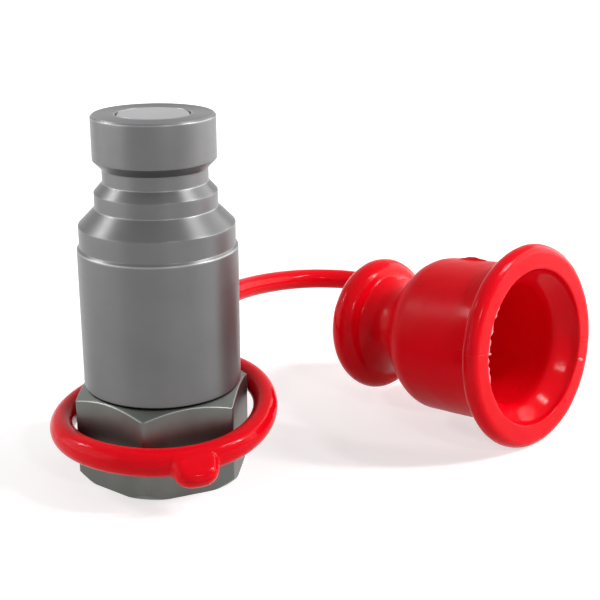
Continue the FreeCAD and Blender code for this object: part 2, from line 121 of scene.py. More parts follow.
KNOB_RADIUS = 15.5
KNOB_ROUND = 3.4
KNOB_DOME = 1.2
WAIST_LENGTH = 10.6
WAIST_ROUND = 7.1
CUP_FOOT = 11.7
CUP_SHOULDER_LENGTH = 6.5
CUP_SHOULDER_ROUND = 7.0
CUP_RADIUS = 17.4
CUP_MOUTH = 17.6
FLANGE_RADIUS = 22.3
FLANGE_ROUND = 2.0
FLANGE_REACH = 42.4
CUP_BORE = 13.3
MOUTH_EDGE = 17.0
MOUTH_BOWL_ROUND = 2.6
MOUTH_LIP_ROUND = 3.0
CUP_DEPTH = 24.9
CUP_CORNER_ROUND = 2.0
CAP_HEADING = math.radians(-44.7)
CAP_TILT = math.radians(7.0)
CAP_FLANGE = Vector((
    78.07,
    11.39,
    (FLANGE_RADIUS - FLANGE_ROUND) * math.cos(CAP_TILT) + FLANGE_ROUND,
))
PARTING_ROLL = math.radians(9.5)

# Ring round the hexagon and the tether

RING_RADIUS = 21.25
RING_HALF_WIDTH = 2.6
RING_HALF_HEIGHT = 2.9
RING_HEIGHT = 11.8
TAB_HEADING = math.radians(-69.5)
TAB_RADIUS = 4.7
TAB_REACH = 1.9
TAB_HALF = 2.2
TAB_SQUARENESS = 2.6
TAB_RISE = 0.6
TAB_ROOT = 0.5
TAB_DROOP = math.radians(32)
TETHER_RADIUS = 2.6
TETHER_ROUTE = [
    (-2.1, 24.9, 13.9),
    (-1.2, 42.0, 16.6),
    (7.5, 59.0, 17.6),
    (17.5, 75.0, 16.2),
    (31.5, 86.0, 14.4),
    (47.5, 84.0, 14.1),
    (58.0, 71.0, 12.3),
    (56.7, 55.5, 13.3),
]
TETHER_SWELL = [1.09, 1.08, 1.05, 1.01, 0.99, 0.98, 0.98, 0.98]


def cap_frame():
    """The cap's place: its X axis lies in the parting plane, and Z runs to the mouth."""
    axis = Vector((math.cos(CAP_TILT) * math.cos(CAP_HEADING),
                   math.cos(CAP_TILT) * math.sin(CAP_HEADING), math.sin(CAP_TILT)))
    across = Vector((0, 0, 1)).cross(axis).normalized()
    upward = axis.cross(across)
    parting = across * math.cos(PARTING_ROLL) - upward * math.sin(PARTING_ROLL)
    other = axis.cross(parting)
    origin = CAP_FLANGE - axis * FLANGE_REACH
    return Matrix((
        (parting.x, other.x, axis.x, origin.x * MM),
        (parting.y, other.y, axis.y, origin.y * MM),
        (parting.z, other.z, axis.z, origin.z * MM),
        (0, 0, 0, 1),
    ))


# Helpers that make meshes

def new_object(name, mesh, material, body):
    obj = bpy.data.objects.new(name, mesh)
    bpy.context.scene.collection.objects.link(obj)
    mesh.materials.append(material)
    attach(obj, body)
    return obj


def mesh_from(name, points, faces):
    mesh = bpy.data.meshes.new(name)
    mesh.from_pydata([tuple(c * MM for c in p) for p in points], [], faces)
    mesh.validate()
    mesh.polygons.foreach_set("use_smooth", [True] * len(mesh.polygons))
    mesh.update()
    return mesh


def arc_points(start, end, radius, left, step):
    """Points along the arc from start to end, without start, that bends left or right."""
    dx, dy = end[0] - start[0], end[1] - start[1]
    chord = math.hypot(dx, dy)
    rise = math.sqrt(max(radius * radius - chord * chord / 4, 0.0)) * (1 if left else -1)
    cx = (start[0] + end[0]) / 2 - dy / chord * rise
    cy = (start[1] + end[1]) / 2 + dx / chord * rise
    a0 = math.atan2(start[1] - cy, start[0] - cx)
    a1 = math.atan2(end[1] - cy, end[0] - cx)
    turn = (a1 - a0) % TAU if left else -((a0 - a1) % TAU)
    count = max(2, math.ceil(abs(turn) * radius / step))
    return [(cx + radius * math.cos(a0 + turn * i / count),
             cy + radius * math.sin(a0 + turn * i / count)) for i in range(1, count + 1)]


def line_points(start, end, step):
    count = max(1, math.ceil(math.dist(start, end) / step))
    return [(start[0] + (end[0] - start[0]) * i / count,
             start[1] + (end[1] - start[1]) * i / count) for i in range(1, count + 1)]


def outline_points(outline, step):
    """Dense points of an open outline. An entry is (x, y) or (x, y, radius, way of the arc)."""
    points = [outline[0][:2]]
    for entry in outline[1:]:
        if len(entry) == 2:
            points += line_points(points[-1], entry, step)
        else:
            points += arc_points(points[-1], entry[:2], entry[2], entry[3] == "left", step)
    return points


def eased(corners, ease, step, closed=True):
    """Dense points of an outline of corners, each rounded by a small radius."""
    points = []
    bends = 4
    last = len(corners) - 1
    for index, corner in enumerate(corners):
        here = Vector(corner)
        if not closed and index in (0, last):
            if points:
                points += line_points(points[-1], corner, step)
            else:
                points.append(corner)
            continue
        back = Vector(corners[index - 1]) - here
        ahead = Vector(corners[(index + 1) % len(corners)]) - here
        reach = min(ease / math.tan(back.angle(ahead) / 2), back.length * 0.45,
                    ahead.length * 0.45)
        first, final = here + back.normalized() * reach, here + ahead.normalized() * reach
        if points:
            points += line_points(points[-1], tuple(first), step)[:-1]
        for i in range(bends + 1):
            t = i / bends
            points.append(tuple(first * (1 - t) ** 2 + here * 2 * t * (1 - t) + final * t * t))
    if closed:
        points += line_points(points[-1], points[0], step)[:-1]
    return points


def refined(points, step_at):
    """More points for the parts of a closed outline that need a finer step."""
    fine = []
    for here, after in zip(points, points[1:] + points[:1]):
        fine.append(here)
        fine += line_points(here, after, step_at(here, after))[:-1]
    return fine


def mark_edge_highlight(mesh, points, angles, edge_highlight):
    """Stores how strongly each point of a lathe's mesh takes the steel's painted edge highlight,
    from 0 to 1.
    """
    values = [edge_highlight(index, angle) for index in range(len(points)) for angle in angles]
    mesh.attributes.new("edge_highlight", "FLOAT", "POINT").data.foreach_set("value", values)


def edge_turns(points):
    """How sharply a closed outline turns at each point, up to 1 on an edge."""
    sharp = 0.12
    turns = []
    for i, here in enumerate(points):
        back = Vector(here) - Vector(points[i - 1])
        ahead = Vector(points[(i + 1) % len(points)]) - Vector(here)
        turns.append(min(back.angle(ahead, 0.0) / sharp, 1.0))
    return turns


def lathe(name, points, angles, closed, place=None):
    """A mesh turned about Z from (radius, height) points. place moves a point of the surface."""
    verts, rows = [], []
    for index, (radius, height) in enumerate(points):
        if radius < 1e-6:
            rows.append([len(verts)] * len(angles))
            verts.append(place(index, 0.0, 0.0, height) if place else (0, 0, height))
            continue
        rows.append(range(len(verts), len(verts) + len(angles)))
        for angle in angles:
            verts.append(place(index, angle, radius, height) if place
                         else (radius * math.cos(angle), radius * math.sin(angle), height))
    faces = []
    for k in range(len(rows) if closed else len(rows) - 1):
        lower, upper = rows[k], rows[(k + 1) % len(rows)]
        for j in range(len(angles)):
            n = (j + 1) % len(angles)
            face = [lower[j], lower[n], upper[n], upper[j]]
            face = [v for i, v in enumerate(face) if v != face[i - 1]]
            if len(face) > 2:
                faces.append(face)
    return mesh_from(name, verts, faces)


def even_angles(count):
    return [TAU * i / count for i in range(count)]


# Materials

def node(tree, kind, **values):
    """A new node, with its properties or else its inputs set by name."""
    made = tree.nodes.new(kind)
    for key, value in values.items():
        if hasattr(made, key):
            setattr(made, key, value)
        else:
            made.inputs[key.replace("_", " ")].default_value = value
    return made


def start_material(name):
    material = bpy.data.materials.new(name)
    material.use_nodes = True
    tree = material.node_tree
    shader = tree.nodes["Principled BSDF"]
    place = tree.nodes.new("ShaderNodeTexCoord")
    return material, tree, shader, place.outputs["Object"]


def stretched_noise(tree, place, scale, stretch, detail=2.0, roughness=0.5):
    """Noise at a scale per metre, with its own stretch along each axis."""
    mapping = tree.nodes.new("ShaderNodeMapping")
    mapping.inputs["Scale"].default_value = stretch
    tree.links.new(place, mapping.inputs["Vector"])
    made = node(tree, "ShaderNodeTexNoise", Scale=scale, Detail=detail, Roughness=roughness)
    tree.links.new(mapping.outputs[0], made.inputs["Vector"])
    return made.outputs["Fac"]


def ramp(tree, value, stops):
    made = tree.nodes.new("ShaderNodeValToRGB")
    elements = made.color_ramp.elements
    while len(elements) < len(stops):
        elements.new(0.5)
    for element, (position, colour) in zip(elements, stops):
        element.position = position
        element.color = (*colour, 1)
    tree.links.new(value, made.inputs["Fac"])
    return made.outputs["Color"]


def mix_value(tree, value, low, high):
    """Spreads a value from 0 to 1 over low to high."""
    made = tree.nodes.new("ShaderNodeMapRange")
    made.inputs["To Min"].default_value = low
    made.inputs["To Max"].default_value = high
    tree.links.new(value, made.inputs["Value"])
    return made.outputs["Result"]


def add_bump(tree, shader, layers):
    """A chain of bumps, each (height output, strength, distance in metres)."""
    normal = None
    for height, strength, distance in layers:
        bump = node(tree, "ShaderNodeBump", Strength=strength, Distance=distance)
        tree.links.new(height, bump.inputs["Height"])
        if normal:
            tree.links.new(normal, bump.inputs["Normal"])
        normal = bump.outputs["Normal"]
    tree.links.new(normal, shader.inputs["Normal"])


def paint_edge_highlight(tree, colour, edge):
    """Mixes a brighter colour into the edges that the mesh marks, as a painted highlight."""
    # Painted highlight: the brighter colour goes where the mesh's attribute marks an edge.
    edge_highlight = node(tree, "ShaderNodeAttribute", attribute_name="edge_highlight")
    mask = node(tree, "ShaderNodeMapRange", From_Min=0.3, From_Max=1.0)
    blend = node(tree, "ShaderNodeMixRGB", Color2=(*edge, 1))
    tree.links.new(edge_highlight.outputs["Fac"], mask.inputs["Value"])
    tree.links.new(mask.outputs["Result"], blend.inputs["Fac"])
    tree.links.new(colour, blend.inputs["Color1"])
    return blend.outputs["Color"]


def plated_paint(tree, cloud, colour, blotch, edge):
    """The slightly uneven colour of the plating, with edge as the colour of a painted highlight
    on its edges.
    """
    low = tuple(c * (1 - blotch) for c in colour)
    high = tuple(min(1.0, c * (1 + blotch)) for c in colour)
    paint = ramp(tree, cloud, [(0.3, low), (0.7, high)])
    return paint_edge_highlight(tree, paint, edge) if edge else paint


def turned_steel(name, colour, roughness, anisotropic=0.6, edge=None):
    """Plated steel with the fine rings that turning leaves round the Z axis."""
    material, tree, shader, place = start_material(name)
    shader.inputs["Metallic"].default_value = 1.0
    shader.inputs["Anisotropic"].default_value = anisotropic
    shader.inputs["Anisotropic Rotation"].default_value = 0.25
    tangent = node(tree, "ShaderNodeTangent", direction_type="RADIAL", axis="Z")
    tree.links.new(tangent.outputs[0], shader.inputs["Tangent"])
    rings = stretched_noise(tree, place, 2600, (0.02, 0.02, 1.0), 3.0, 0.65)
    cloud = stretched_noise(tree, place, 90, (1, 1, 1), 3.0)
    paint = plated_paint(tree, cloud, colour, 0.06, edge)
    tree.links.new(paint, shader.inputs["Base Color"])
    tree.links.new(mix_value(tree, rings, roughness - 0.05, roughness + 0.05),
                   shader.inputs["Roughness"])
    add_bump(tree, shader, [(rings, 0.12, 0.00002)])
    return material


def bar_steel(name, colour, roughness, edge=None):
    """Drawn hexagon bar: faint streaks along Z under the plating."""
    material, tree, shader, place = start_material(name)
    shader.inputs["Metallic"].default_value = 1.0
    streaks = stretched_noise(tree, place, 1800, (1.0, 1.0, 0.03), 3.0, 0.6)
    cloud = stretched_noise(tree, place, 120, (1, 1, 1), 4.0)
    paint = plated_paint(tree, cloud, colour, 0.10, edge)
    tree.links.new(paint, shader.inputs["Base Color"])
    tree.links.new(mix_value(tree, streaks, roughness - 0.06, roughness + 0.06),
                   shader.inputs["Roughness"])
    add_bump(tree, shader, [(streaks, 0.10, 0.00002), (cloud, 0.06, 0.0003)])
    return material


def add_dull_band(tree, place, roughness, start, end, extra):
    """Adds to the roughness between two reaches along the cap's axis, with soft ends."""
    fade = 4.0
    axis, origin = cap_frame().col[2].xyz, cap_frame().translation
    shift = origin.dot(axis)
    along = node(tree, "ShaderNodeVectorMath", operation="DOT_PRODUCT")
    along.inputs[1].default_value = axis
    tree.links.new(place, along.inputs[0])
    least = node(tree, "ShaderNodeMath", operation="MINIMUM")
    total = node(tree, "ShaderNodeMath", operation="ADD")
    for slot, (reach, low, high) in enumerate(((start, 0.0, extra), (end, extra, 0.0))):
        side = node(tree, "ShaderNodeMapRange", interpolation_type="SMOOTHSTEP",
                    From_Min=shift + (reach - fade) * MM, From_Max=shift + (reach + fade) * MM,
                    To_Min=low, To_Max=high)
        tree.links.new(along.outputs["Value"], side.inputs["Value"])
        tree.links.new(side.outputs["Result"], least.inputs[slot])
    tree.links.new(least.outputs[0], total.inputs[0])
    tree.links.new(roughness, total.inputs[1])
    return total.outputs[0]


def soft_vinyl(name, colour, deep, dull=None):
    """Soft moulded vinyl with a faint grain. dull gives a matt band of the cap's mould."""
    material, tree, shader, place = start_material(name)
    cloud = stretched_noise(tree, place, 70, (1, 1, 1), 3.0)
    grain = stretched_noise(tree, place, 1500, (1, 1, 1), 2.0)
    wave = stretched_noise(tree, place, 560, (1, 1, 1), 2.0)
    tree.links.new(ramp(tree, cloud, [(0.25, deep), (0.75, colour)]), shader.inputs["Base Color"])
    roughness = mix_value(tree, cloud, 0.10, 0.18)
    if dull:
        roughness = add_dull_band(tree, place, roughness, *dull)
    tree.links.new(roughness, shader.inputs["Roughness"])
    shader.inputs["Subsurface Weight"].default_value = 0.2
    shader.inputs["Subsurface Radius"].default_value = (1.0, 0.15, 0.1)
    shader.inputs["Subsurface Scale"].default_value = 0.002
    shader.inputs["Specular IOR Level"].default_value = 0.07
    add_bump(tree, shader, [(wave, 0.22, 0.0002), (grain, 0.14, 0.00004)])
    return material


def plain_polymer(name, colour, roughness):
    """Rubber or fluoroplastic with a faint mottle."""
    material, tree, shader, place = start_material(name)
    cloud = stretched_noise(tree, place, 400, (1, 1, 1), 3.0)
    low = tuple(c * 0.85 for c in colour)
    tree.links.new(ramp(tree, cloud, [(0.3, low), (0.7, colour)]), shader.inputs["Base Color"])
    tree.links.new(mix_value(tree, cloud, roughness - 0.05, roughness + 0.05),
                   shader.inputs["Roughness"])
    add_bump(tree, shader, [(cloud, 0.1, 0.0001)])
    return material


# Each edge colour is a painted highlight along that piece's edges.
body_steel = turned_steel("turned_body_steel", (0.130, 0.130, 0.131), 0.40,
                          edge=(0.36, 0.36, 0.36))
hexagon_steel = bar_steel("drawn_hexagon_steel", (0.128, 0.133, 0.124), 0.40,
                          edge=(0.20, 0.207, 0.20))
face_steel = turned_steel("bright_face_steel", (0.36, 0.36, 0.37), 0.36, anisotropic=0.0)
valve_steel = turned_steel("valve_steel", (0.42, 0.42, 0.43), 0.28)
spring_steel = bar_steel("spring_wire_steel", (0.20, 0.20, 0.21), 0.30)
seal_rubber = plain_polymer("black_nitrile", (0.018, 0.018, 0.018), 0.55)
backup_plastic = plain_polymer("white_fluoroplastic", (0.80, 0.80, 0.77), 0.45)
cap_vinyl = soft_vinyl("red_vinyl", (0.74, 0.002, 0.010), (0.67, 0.001, 0.006))
cup_vinyl = soft_vinyl("red_vinyl_of_the_cap", (0.74, 0.002, 0.010), (0.67, 0.001, 0.006),
                       dull=(9.0, 36.0, 0.22))
# The fins' pale pink colour is a painted highlight, where light catches the thin flash.
thin_vinyl = soft_vinyl("pale_vinyl_painted_highlight", (0.90, 0.34, 0.38), (0.82, 0.16, 0.20))


# The camera, where it stood for the photo

def add_camera():
    data = bpy.data.cameras.new("camera")
    data.sensor_fit = "HORIZONTAL"
    data.sensor_width = 36.0
    data.lens = 72.55
    data.clip_end = 10.0
    camera = bpy.data.objects.new("camera", data)
    bpy.context.scene.collection.objects.link(camera)
    camera.location = (0.02853, -0.2341, 0.11461)
    camera.rotation_euler = (math.radians(71.55), 0, 0)
    bpy.context.scene.camera = camera


# The tether, on the same route as its solid

def make_tether():
    curve = bpy.data.curves.new("tether_cord_line", "CURVE")
    curve.dimensions = "3D"
    curve.bevel_depth = TETHER_RADIUS * MM
    curve.bevel_resolution = 8
    curve.resolution_u = 14
    spline = curve.splines.new("NURBS")
    spline.points.add(len(TETHER_ROUTE) - 1)
    for point, place, share in zip(spline.points, TETHER_ROUTE, TETHER_SWELL):
        point.co = (*[c * MM for c in place], 1.0)
        point.radius = share
    spline.order_u = 3
    spline.use_endpoint_u = True
    curve.materials.append(cap_vinyl)
    tether = bpy.data.objects.new("red_tether", curve)
    bpy.context.scene.collection.objects.link(tether)
    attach(tether, "cap_and_tether")
    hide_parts("tether_cord")
    [c * MM for c in TETHER_ROUTE[0]]


# The turned steel pieces

def make_body():
    """Nose, neck, shoulders and sleeve, with each edge broken by a small radius."""
    corners = [
        (NOSE_BORE, HEIGHT),
        (NOSE_RADIUS - NOSE_EDGE, HEIGHT),
        (NOSE_RADIUS, HEIGHT - NOSE_EDGE),
        (NOSE_RADIUS, NOSE_BOTTOM),
        (NECK_RADIUS, NECK_TOP),
        (NECK_RADIUS, NECK_BOTTOM),
        (SHOULDER_RADIUS, SHOULDER_TOP),
        (SHOULDER_RADIUS, SHOULDER_BOTTOM),
        (BAND_RADIUS, BAND_TOP),
        (BAND_RADIUS, SLEEVE_TOP),
        (SLEEVE_RADIUS, SLEEVE_TOP - SLEEVE_EDGE),
        (SLEEVE_RADIUS, SLEEVE_BOTTOM),
        (THREAD_BORE + THREAD_CHAMFER, SLEEVE_BOTTOM),
        (THREAD_BORE, SLEEVE_BOTTOM + THREAD_CHAMFER),
        (THREAD_BORE, THREAD_TOP),
        (SEAL_BORE, THREAD_TOP + THREAD_CHAMFER),
        (SEAL_BORE, GUIDE_BOTTOM),
        (SEAL_BORE, GUIDE_SEAT),
        (CHAMBER_RADIUS, GUIDE_SEAT),
        (CHAMBER_RADIUS, CHAMBER_TOP),
        (NECK_BORE, CHAMBER_TOP + CHAMBER_RADIUS - NECK_BORE),
        (NECK_BORE, SEAT_TOP - (NECK_BORE - NOSE_BORE)),
        (NOSE_BORE, SEAT_TOP),
    ]
    points = eased(corners, ease=0.28, step=0.6)
    angles = even_angles(192)
    turns = edge_turns(points)
    # Heights of the edges that get a painted highlight, each with how much, and how far the
    # highlight reaches
    highlight_reach = 0.4
    highlight_levels = ((HEIGHT - 0.3, 0.6), (NECK_BOTTOM, 0.5), (SHOULDER_BOTTOM, 0.5),
                   (SLEEVE_TOP - SLEEVE_EDGE, 0.7))

    # Painted highlight, on convex and concave edges alike, strongest where the outline turns
    # sharply
    def edge_highlight(index, angle):
        height = points[index][1]
        near = [much for level, much in highlight_levels if abs(height - level) < highlight_reach]
        return max(near, default=0) * turns[index]

    mesh = lathe("turned_body", points, angles, closed=True)
    mark_edge_highlight(mesh, points, angles, edge_highlight)
    obj = new_object("turned_body", mesh, body_steel, "coupler")
    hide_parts("nipple_body")


def make_face():
    """The flush face of the poppet with its broken edge."""
    corners = [
        (0.0, HEIGHT),
        (FACE_RADIUS - FACE_EDGE, HEIGHT),
        (FACE_RADIUS, HEIGHT - FACE_EDGE),
        (FACE_RADIUS, FACE_BOTTOM),
        (0.0, FACE_BOTTOM),
    ]
    points = eased(corners, ease=0.12, step=0.4, closed=False)
    mesh = lathe("poppet_disc", points[::-1], even_angles(128), closed=False)
    obj = new_object("poppet_disc", mesh, face_steel, "poppet")
    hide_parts("poppet_face")


def smaller(a, b, blend):
    """The smaller of two lengths, rounded where they meet."""
    share = max(blend - abs(a - b), 0.0) / blend
    return min(a, b) - share * share * blend / 4


def hexagon_radius(angle):
    """How far the hexagon's flats lie from the axis in a direction."""
    step = TAU / 6
    nearest = (angle - HEX_TURN + step / 2) % step - step / 2
    return HEX_HALF / math.cos(nearest)


def adapter_step(here, after):
    """A fine step on the port's thread and where the turned corners cut the flats."""
    thread_step, cut_step, plain_step = 0.25, 0.12, 1.0
    if max(here[0], after[0]) < PORT_ROOT_RADIUS and max(here[1], after[1]) < PORT_DEPTH + 0.1:
        return thread_step
    if min(here[0], after[0]) > HEX_CUT_START and abs(here[0] - after[0]) > 0.001:
        return cut_step
    return plain_step


def make_adapter():
    """The hexagon with its turned corners, the spigot above it and the port below."""
    corners = [
        (PORT_MOUTH, 0.0),
        (HEX_CORNER - HEX_FOOT_CHAMFER, 0.0),
        (HEX_CORNER, HEX_FOOT_CHAMFER),
        (HEX_CORNER, HEX_HEIGHT - HEX_TOP_DROP),
        (HEX_CORNER - HEX_TOP_CHAMFER, HEX_HEIGHT),
        (SPIGOT_THREAD_RADIUS, HEX_HEIGHT),
        (SPIGOT_THREAD_RADIUS, SPIGOT_THREAD_TOP),
        (SPIGOT_RADIUS, SPIGOT_THREAD_TOP),
        (SPIGOT_RADIUS, SPIGOT_TOP),
        (WATERWAY, SPIGOT_TOP),
        (WATERWAY, PORT_DEPTH + PORT_RADIUS - WATERWAY),
        (PORT_RADIUS, PORT_DEPTH),
        (PORT_RADIUS, PORT_MOUTH - PORT_RADIUS),
    ]
    points = refined(eased(corners, ease=0.15, step=1.0), adapter_step)
    sides = 360
    angles = [HEX_TURN + math.radians(30) + TAU * i / sides for i in range(sides)]
    highlight_width = 0.3

    def place(index, angle, radius, height):
        if radius > HEX_CUT_START:
            radius = smaller(radius, hexagon_radius(angle), blend=0.3)
        elif radius < PORT_ROOT_RADIUS and height < PORT_DEPTH:
            radius = max(radius, port_thread(angle, height))
        return (radius * math.cos(angle), radius * math.sin(angle), height)

    # Painted highlight along the edges where the hexagon's chamfers meet its flats
    def edge_highlight(index, angle):
        radius, height = points[index]
        if radius < HEX_CUT_START or HEX_FOOT_CHAMFER < height < HEX_HEIGHT - HEX_TOP_DROP:
            return 0.0
        return max(0.0, 1 - abs(radius - hexagon_radius(angle)) / highlight_width)

    mesh = lathe("hexagon_adapter", points, angles, closed=True, place=place)
    mark_edge_highlight(mesh, points, angles, edge_highlight)
    obj = new_object("hexagon_adapter", mesh, hexagon_steel, "coupler")
    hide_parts("rear_adapter")


def port_thread(angle, height):
    """Radius of the port's helical thread, which runs out near the bottom of the port."""
    crest_share, flank_share = 0.12, 0.76
    thread_end = PORT_DEPTH - 1.0
    turn = (height / PORT_PITCH - angle / TAU) % 1.0
    flank = abs(turn - 0.5) * 2
    cut = min(max((flank - crest_share) / flank_share, 0.0), 1.0)
    runout = min(max((thread_end - height) / PORT_PITCH, 0.0), 1.0)
    return PORT_RADIUS + (PORT_ROOT_RADIUS - PORT_RADIUS) * cut * runout


def make_spring():
    """The valve spring, with a closed and ground turn at each end."""
    low = GUIDE_SEAT
    high = top("return_spring").z
    wire, coil = 0.7, 5.6
    turns, closed_turns = 9.0, 1.0
    steps, sides = 36, 12
    total = int(turns * steps)
    closed_rise = 2 * wire * closed_turns
    open_rise = (high - low) - 2 * closed_rise
    verts, faces = [], []
    for i in range(total + 1):
        turn = i / steps
        if turn < closed_turns:
            height = turn * 2 * wire
        elif turn > turns - closed_turns:
            height = (high - low) - (turns - turn) * 2 * wire
        else:
            share = (turn - closed_turns) / (turns - 2 * closed_turns)
            height = closed_rise + share * open_rise
        angle = TAU * turn
        for j in range(sides):
            side = TAU * j / sides
            radius = coil + wire * math.cos(side)
            z = min(max(height + wire * math.sin(side), 0.0), high - low)
            verts.append((radius * math.cos(angle), radius * math.sin(angle), low + z))
    for i in range(total):
        for j in range(sides):
            n = (j + 1) % sides
            a, b = i * sides, (i + 1) * sides
            faces.append([a + j, b + j, b + n, a + n])
    faces.append(list(range(sides)))
    faces.append([total * sides + j for j in reversed(range(sides))])
    mesh = mesh_from("valve_spring", verts, faces)
    obj = new_object("valve_spring", mesh, spring_steel, "coupler")
    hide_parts("return_spring")
    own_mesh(obj)


def finish_inner_nodes():
    """Carried-over solids of the valve and the seals get their finished materials."""
    for name, material in (
        ("poppet_stem", valve_steel),
        ("valve_guide", valve_steel),
        ("guide_retaining_ring", spring_steel),
        ("poppet_o_ring", seal_rubber),
        ("adapter_o_ring", seal_rubber),
        ("poppet_backup_ring", backup_plastic),
        ("adapter_backup_ring", backup_plastic),
    ):
        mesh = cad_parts[name].data
        mesh.materials.clear()
        mesh.materials.append(material)


# The red moulding

def cap_outline():
    """Outlines of the cap's outside and inside, as (radius, reach along its axis)."""
    dome_edge = KNOB_RADIUS - KNOB_ROUND
    dome_radius = (dome_edge ** 2 + KNOB_DOME ** 2) / (2 * KNOB_DOME)
    foot_reach = KNOB_ROUND + WAIST_LENGTH
    bead = FLANGE_RADIUS - FLANGE_ROUND
    flare = bead - CUP_MOUTH
    mouth = FLANGE_REACH + FLANGE_ROUND
    floor = mouth - CUP_DEPTH
    diagonal = math.sqrt(0.5)
    slope_top = MOUTH_EDGE - MOUTH_BOWL_ROUND * (1 - diagonal)
    slope_start = mouth - MOUTH_BOWL_ROUND * diagonal
    slope_foot = CUP_BORE + MOUTH_LIP_ROUND * (1 - diagonal)
    slope_end = slope_start - (slope_top - slope_foot)
    outer = [
        (0.0, -KNOB_ROUND - KNOB_DOME),
        (dome_edge, -KNOB_ROUND, dome_radius, "left"),
        (KNOB_RADIUS, 0.0, KNOB_ROUND, "left"),
        (dome_edge, KNOB_ROUND, KNOB_ROUND, "left"),
        (CUP_FOOT, foot_reach, WAIST_ROUND, "right"),
        (CUP_RADIUS, foot_reach + CUP_SHOULDER_LENGTH, CUP_SHOULDER_ROUND, "left"),
        (CUP_MOUTH, FLANGE_REACH - FLANGE_ROUND - flare),
        (bead, FLANGE_REACH - FLANGE_ROUND, flare, "right"),
        (FLANGE_RADIUS, FLANGE_REACH, FLANGE_ROUND, "left"),
        (bead, mouth, FLANGE_ROUND, "left"),
        (MOUTH_EDGE + 0.25, mouth),
    ]
    inner = [
        outer[-1],
        (MOUTH_EDGE, mouth - 0.25, 0.25, "left"),
        (slope_top, slope_start, MOUTH_BOWL_ROUND, "right"),
        (slope_foot, slope_end),
        (CUP_BORE, slope_end - MOUTH_LIP_ROUND * diagonal, MOUTH_LIP_ROUND, "left"),
        (CUP_BORE, floor + CUP_CORNER_ROUND),
        (CUP_BORE - CUP_CORNER_ROUND, floor, CUP_CORNER_ROUND, "right"),
        (0.0, floor),
    ]
    return outer, inner


def make_cap():
    """The knob, waist, cup and flange, with the mould's flash along the parting plane."""
    outer, inner = cap_outline()
    step = 0.6
    outer_points = outline_points(outer, step)
    points = outer_points + outline_points(inner, step)[1:]
    flash_half, flash_height = 0.22, 0.13
    flash_start = FLANGE_REACH - 3.2 * FLANGE_ROUND
    near_seam = [math.radians(quarter * 0.25) for quarter in range(-8, 9)]
    angles = sorted(set(
        [round(angle, 6) for angle in even_angles(216)]
        + [round(side + turn, 6) % TAU for side in (0.0, math.pi) for turn in near_seam]))

    def place(index, angle, radius, height):
        spot = Vector((radius * math.cos(angle), radius * math.sin(angle), height))
        if radius < 1e-6:
            return spot
        before = points[max(index - 1, 0)]
        after = points[min(index + 1, len(points) - 1)]
        run = Vector((after[0] - before[0], after[1] - before[1])).normalized()
        out = Vector((run.y * math.cos(angle), run.y * math.sin(angle), -run.x))
        lift = 0.10 * noise.noise(spot * 0.09) + 0.05 * noise.noise(spot * 0.28)
        if index < len(outer_points) and height > flash_start:
            off = abs(radius * math.sin(angle))
            ragged = 0.6 + 0.9 * noise.noise(spot * 0.9)
            lift += flash_height * ragged * max(0.0, 1 - off / flash_half) ** 1.5
        return spot + out * lift

    mesh = lathe("dust_cap_moulding", points, angles, closed=False, place=place)
    mesh.transform(cap_frame())
    obj = new_object("dust_cap_moulding", mesh, cup_vinyl, "cap_and_tether")
    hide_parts("dust_cap")
    return obj


def make_flash():
    """Thin fins, nubs and a ridge that the mould left on the cap.

    Each runs between two places (radius, reach along the axis, angle) and stands up by its
    shares of the ways out from the axis and towards the mouth. Then come its height, half
    width and raggedness.
    """
    mouth = FLANGE_REACH + FLANGE_ROUND
    up = math.radians(90) + PARTING_ROLL
    rim = FLANGE_RADIUS
    fins = (
        ((17.2, mouth, math.pi), (15.9, mouth - 1.6, math.pi), (0, 1), 1.1, 0.4, 0.3),
        ((rim, FLANGE_REACH - 0.9, 0.0), (rim, FLANGE_REACH + 0.9, 0.0), (1, 0), 1.3, 0.5, 0.3),
        ((19.4, mouth, -0.24), (17.3, mouth - 0.1, -0.24), (0, 1), 0.75, 0.5, 0.3),
        ((17.0, mouth - 0.1, 2.45), (17.0, mouth - 0.1, 3.62), (-1, 0.2), 0.32, 0.12, 2.0),
    )
    ridges = (
        ((17.3, 22.0, up - 0.12), (17.45, 31.0, up - 0.17), (1, 0), 0.85, 0.45, 0.3),
    )
    # The flash takes the pale vinyl, a painted highlight; the ridge keeps the cap's red.
    for name, material, marks in (("mould_flash", thin_vinyl, fins),
                                  ("mould_ridge", cup_vinyl, ridges)):
        verts, faces = [], []
        for start, end, way, height, half, ragged in marks:
            add_fin(verts, faces, fin_path(start, end, way), height, half, ragged)
        mesh = mesh_from(name, verts, faces)
        mesh.transform(cap_frame())
        new_object(name, mesh, material, "cap_and_tether")


def fin_path(start, end, way):
    """Points along a fin, each with the way it stands up there."""
    count = max(14, math.ceil(abs(end[2] - start[2]) * start[0] / 0.3))
    path = []
    for i in range(count + 1):
        radius, along, angle = (a + (b - a) * i / count for a, b in zip(start, end))
        away = Vector((math.cos(angle), math.sin(angle), 0))
        spot = away * radius + Vector((0, 0, along))
        path.append((spot, away * way[0] + Vector((0, 0, way[1]))))
    return path


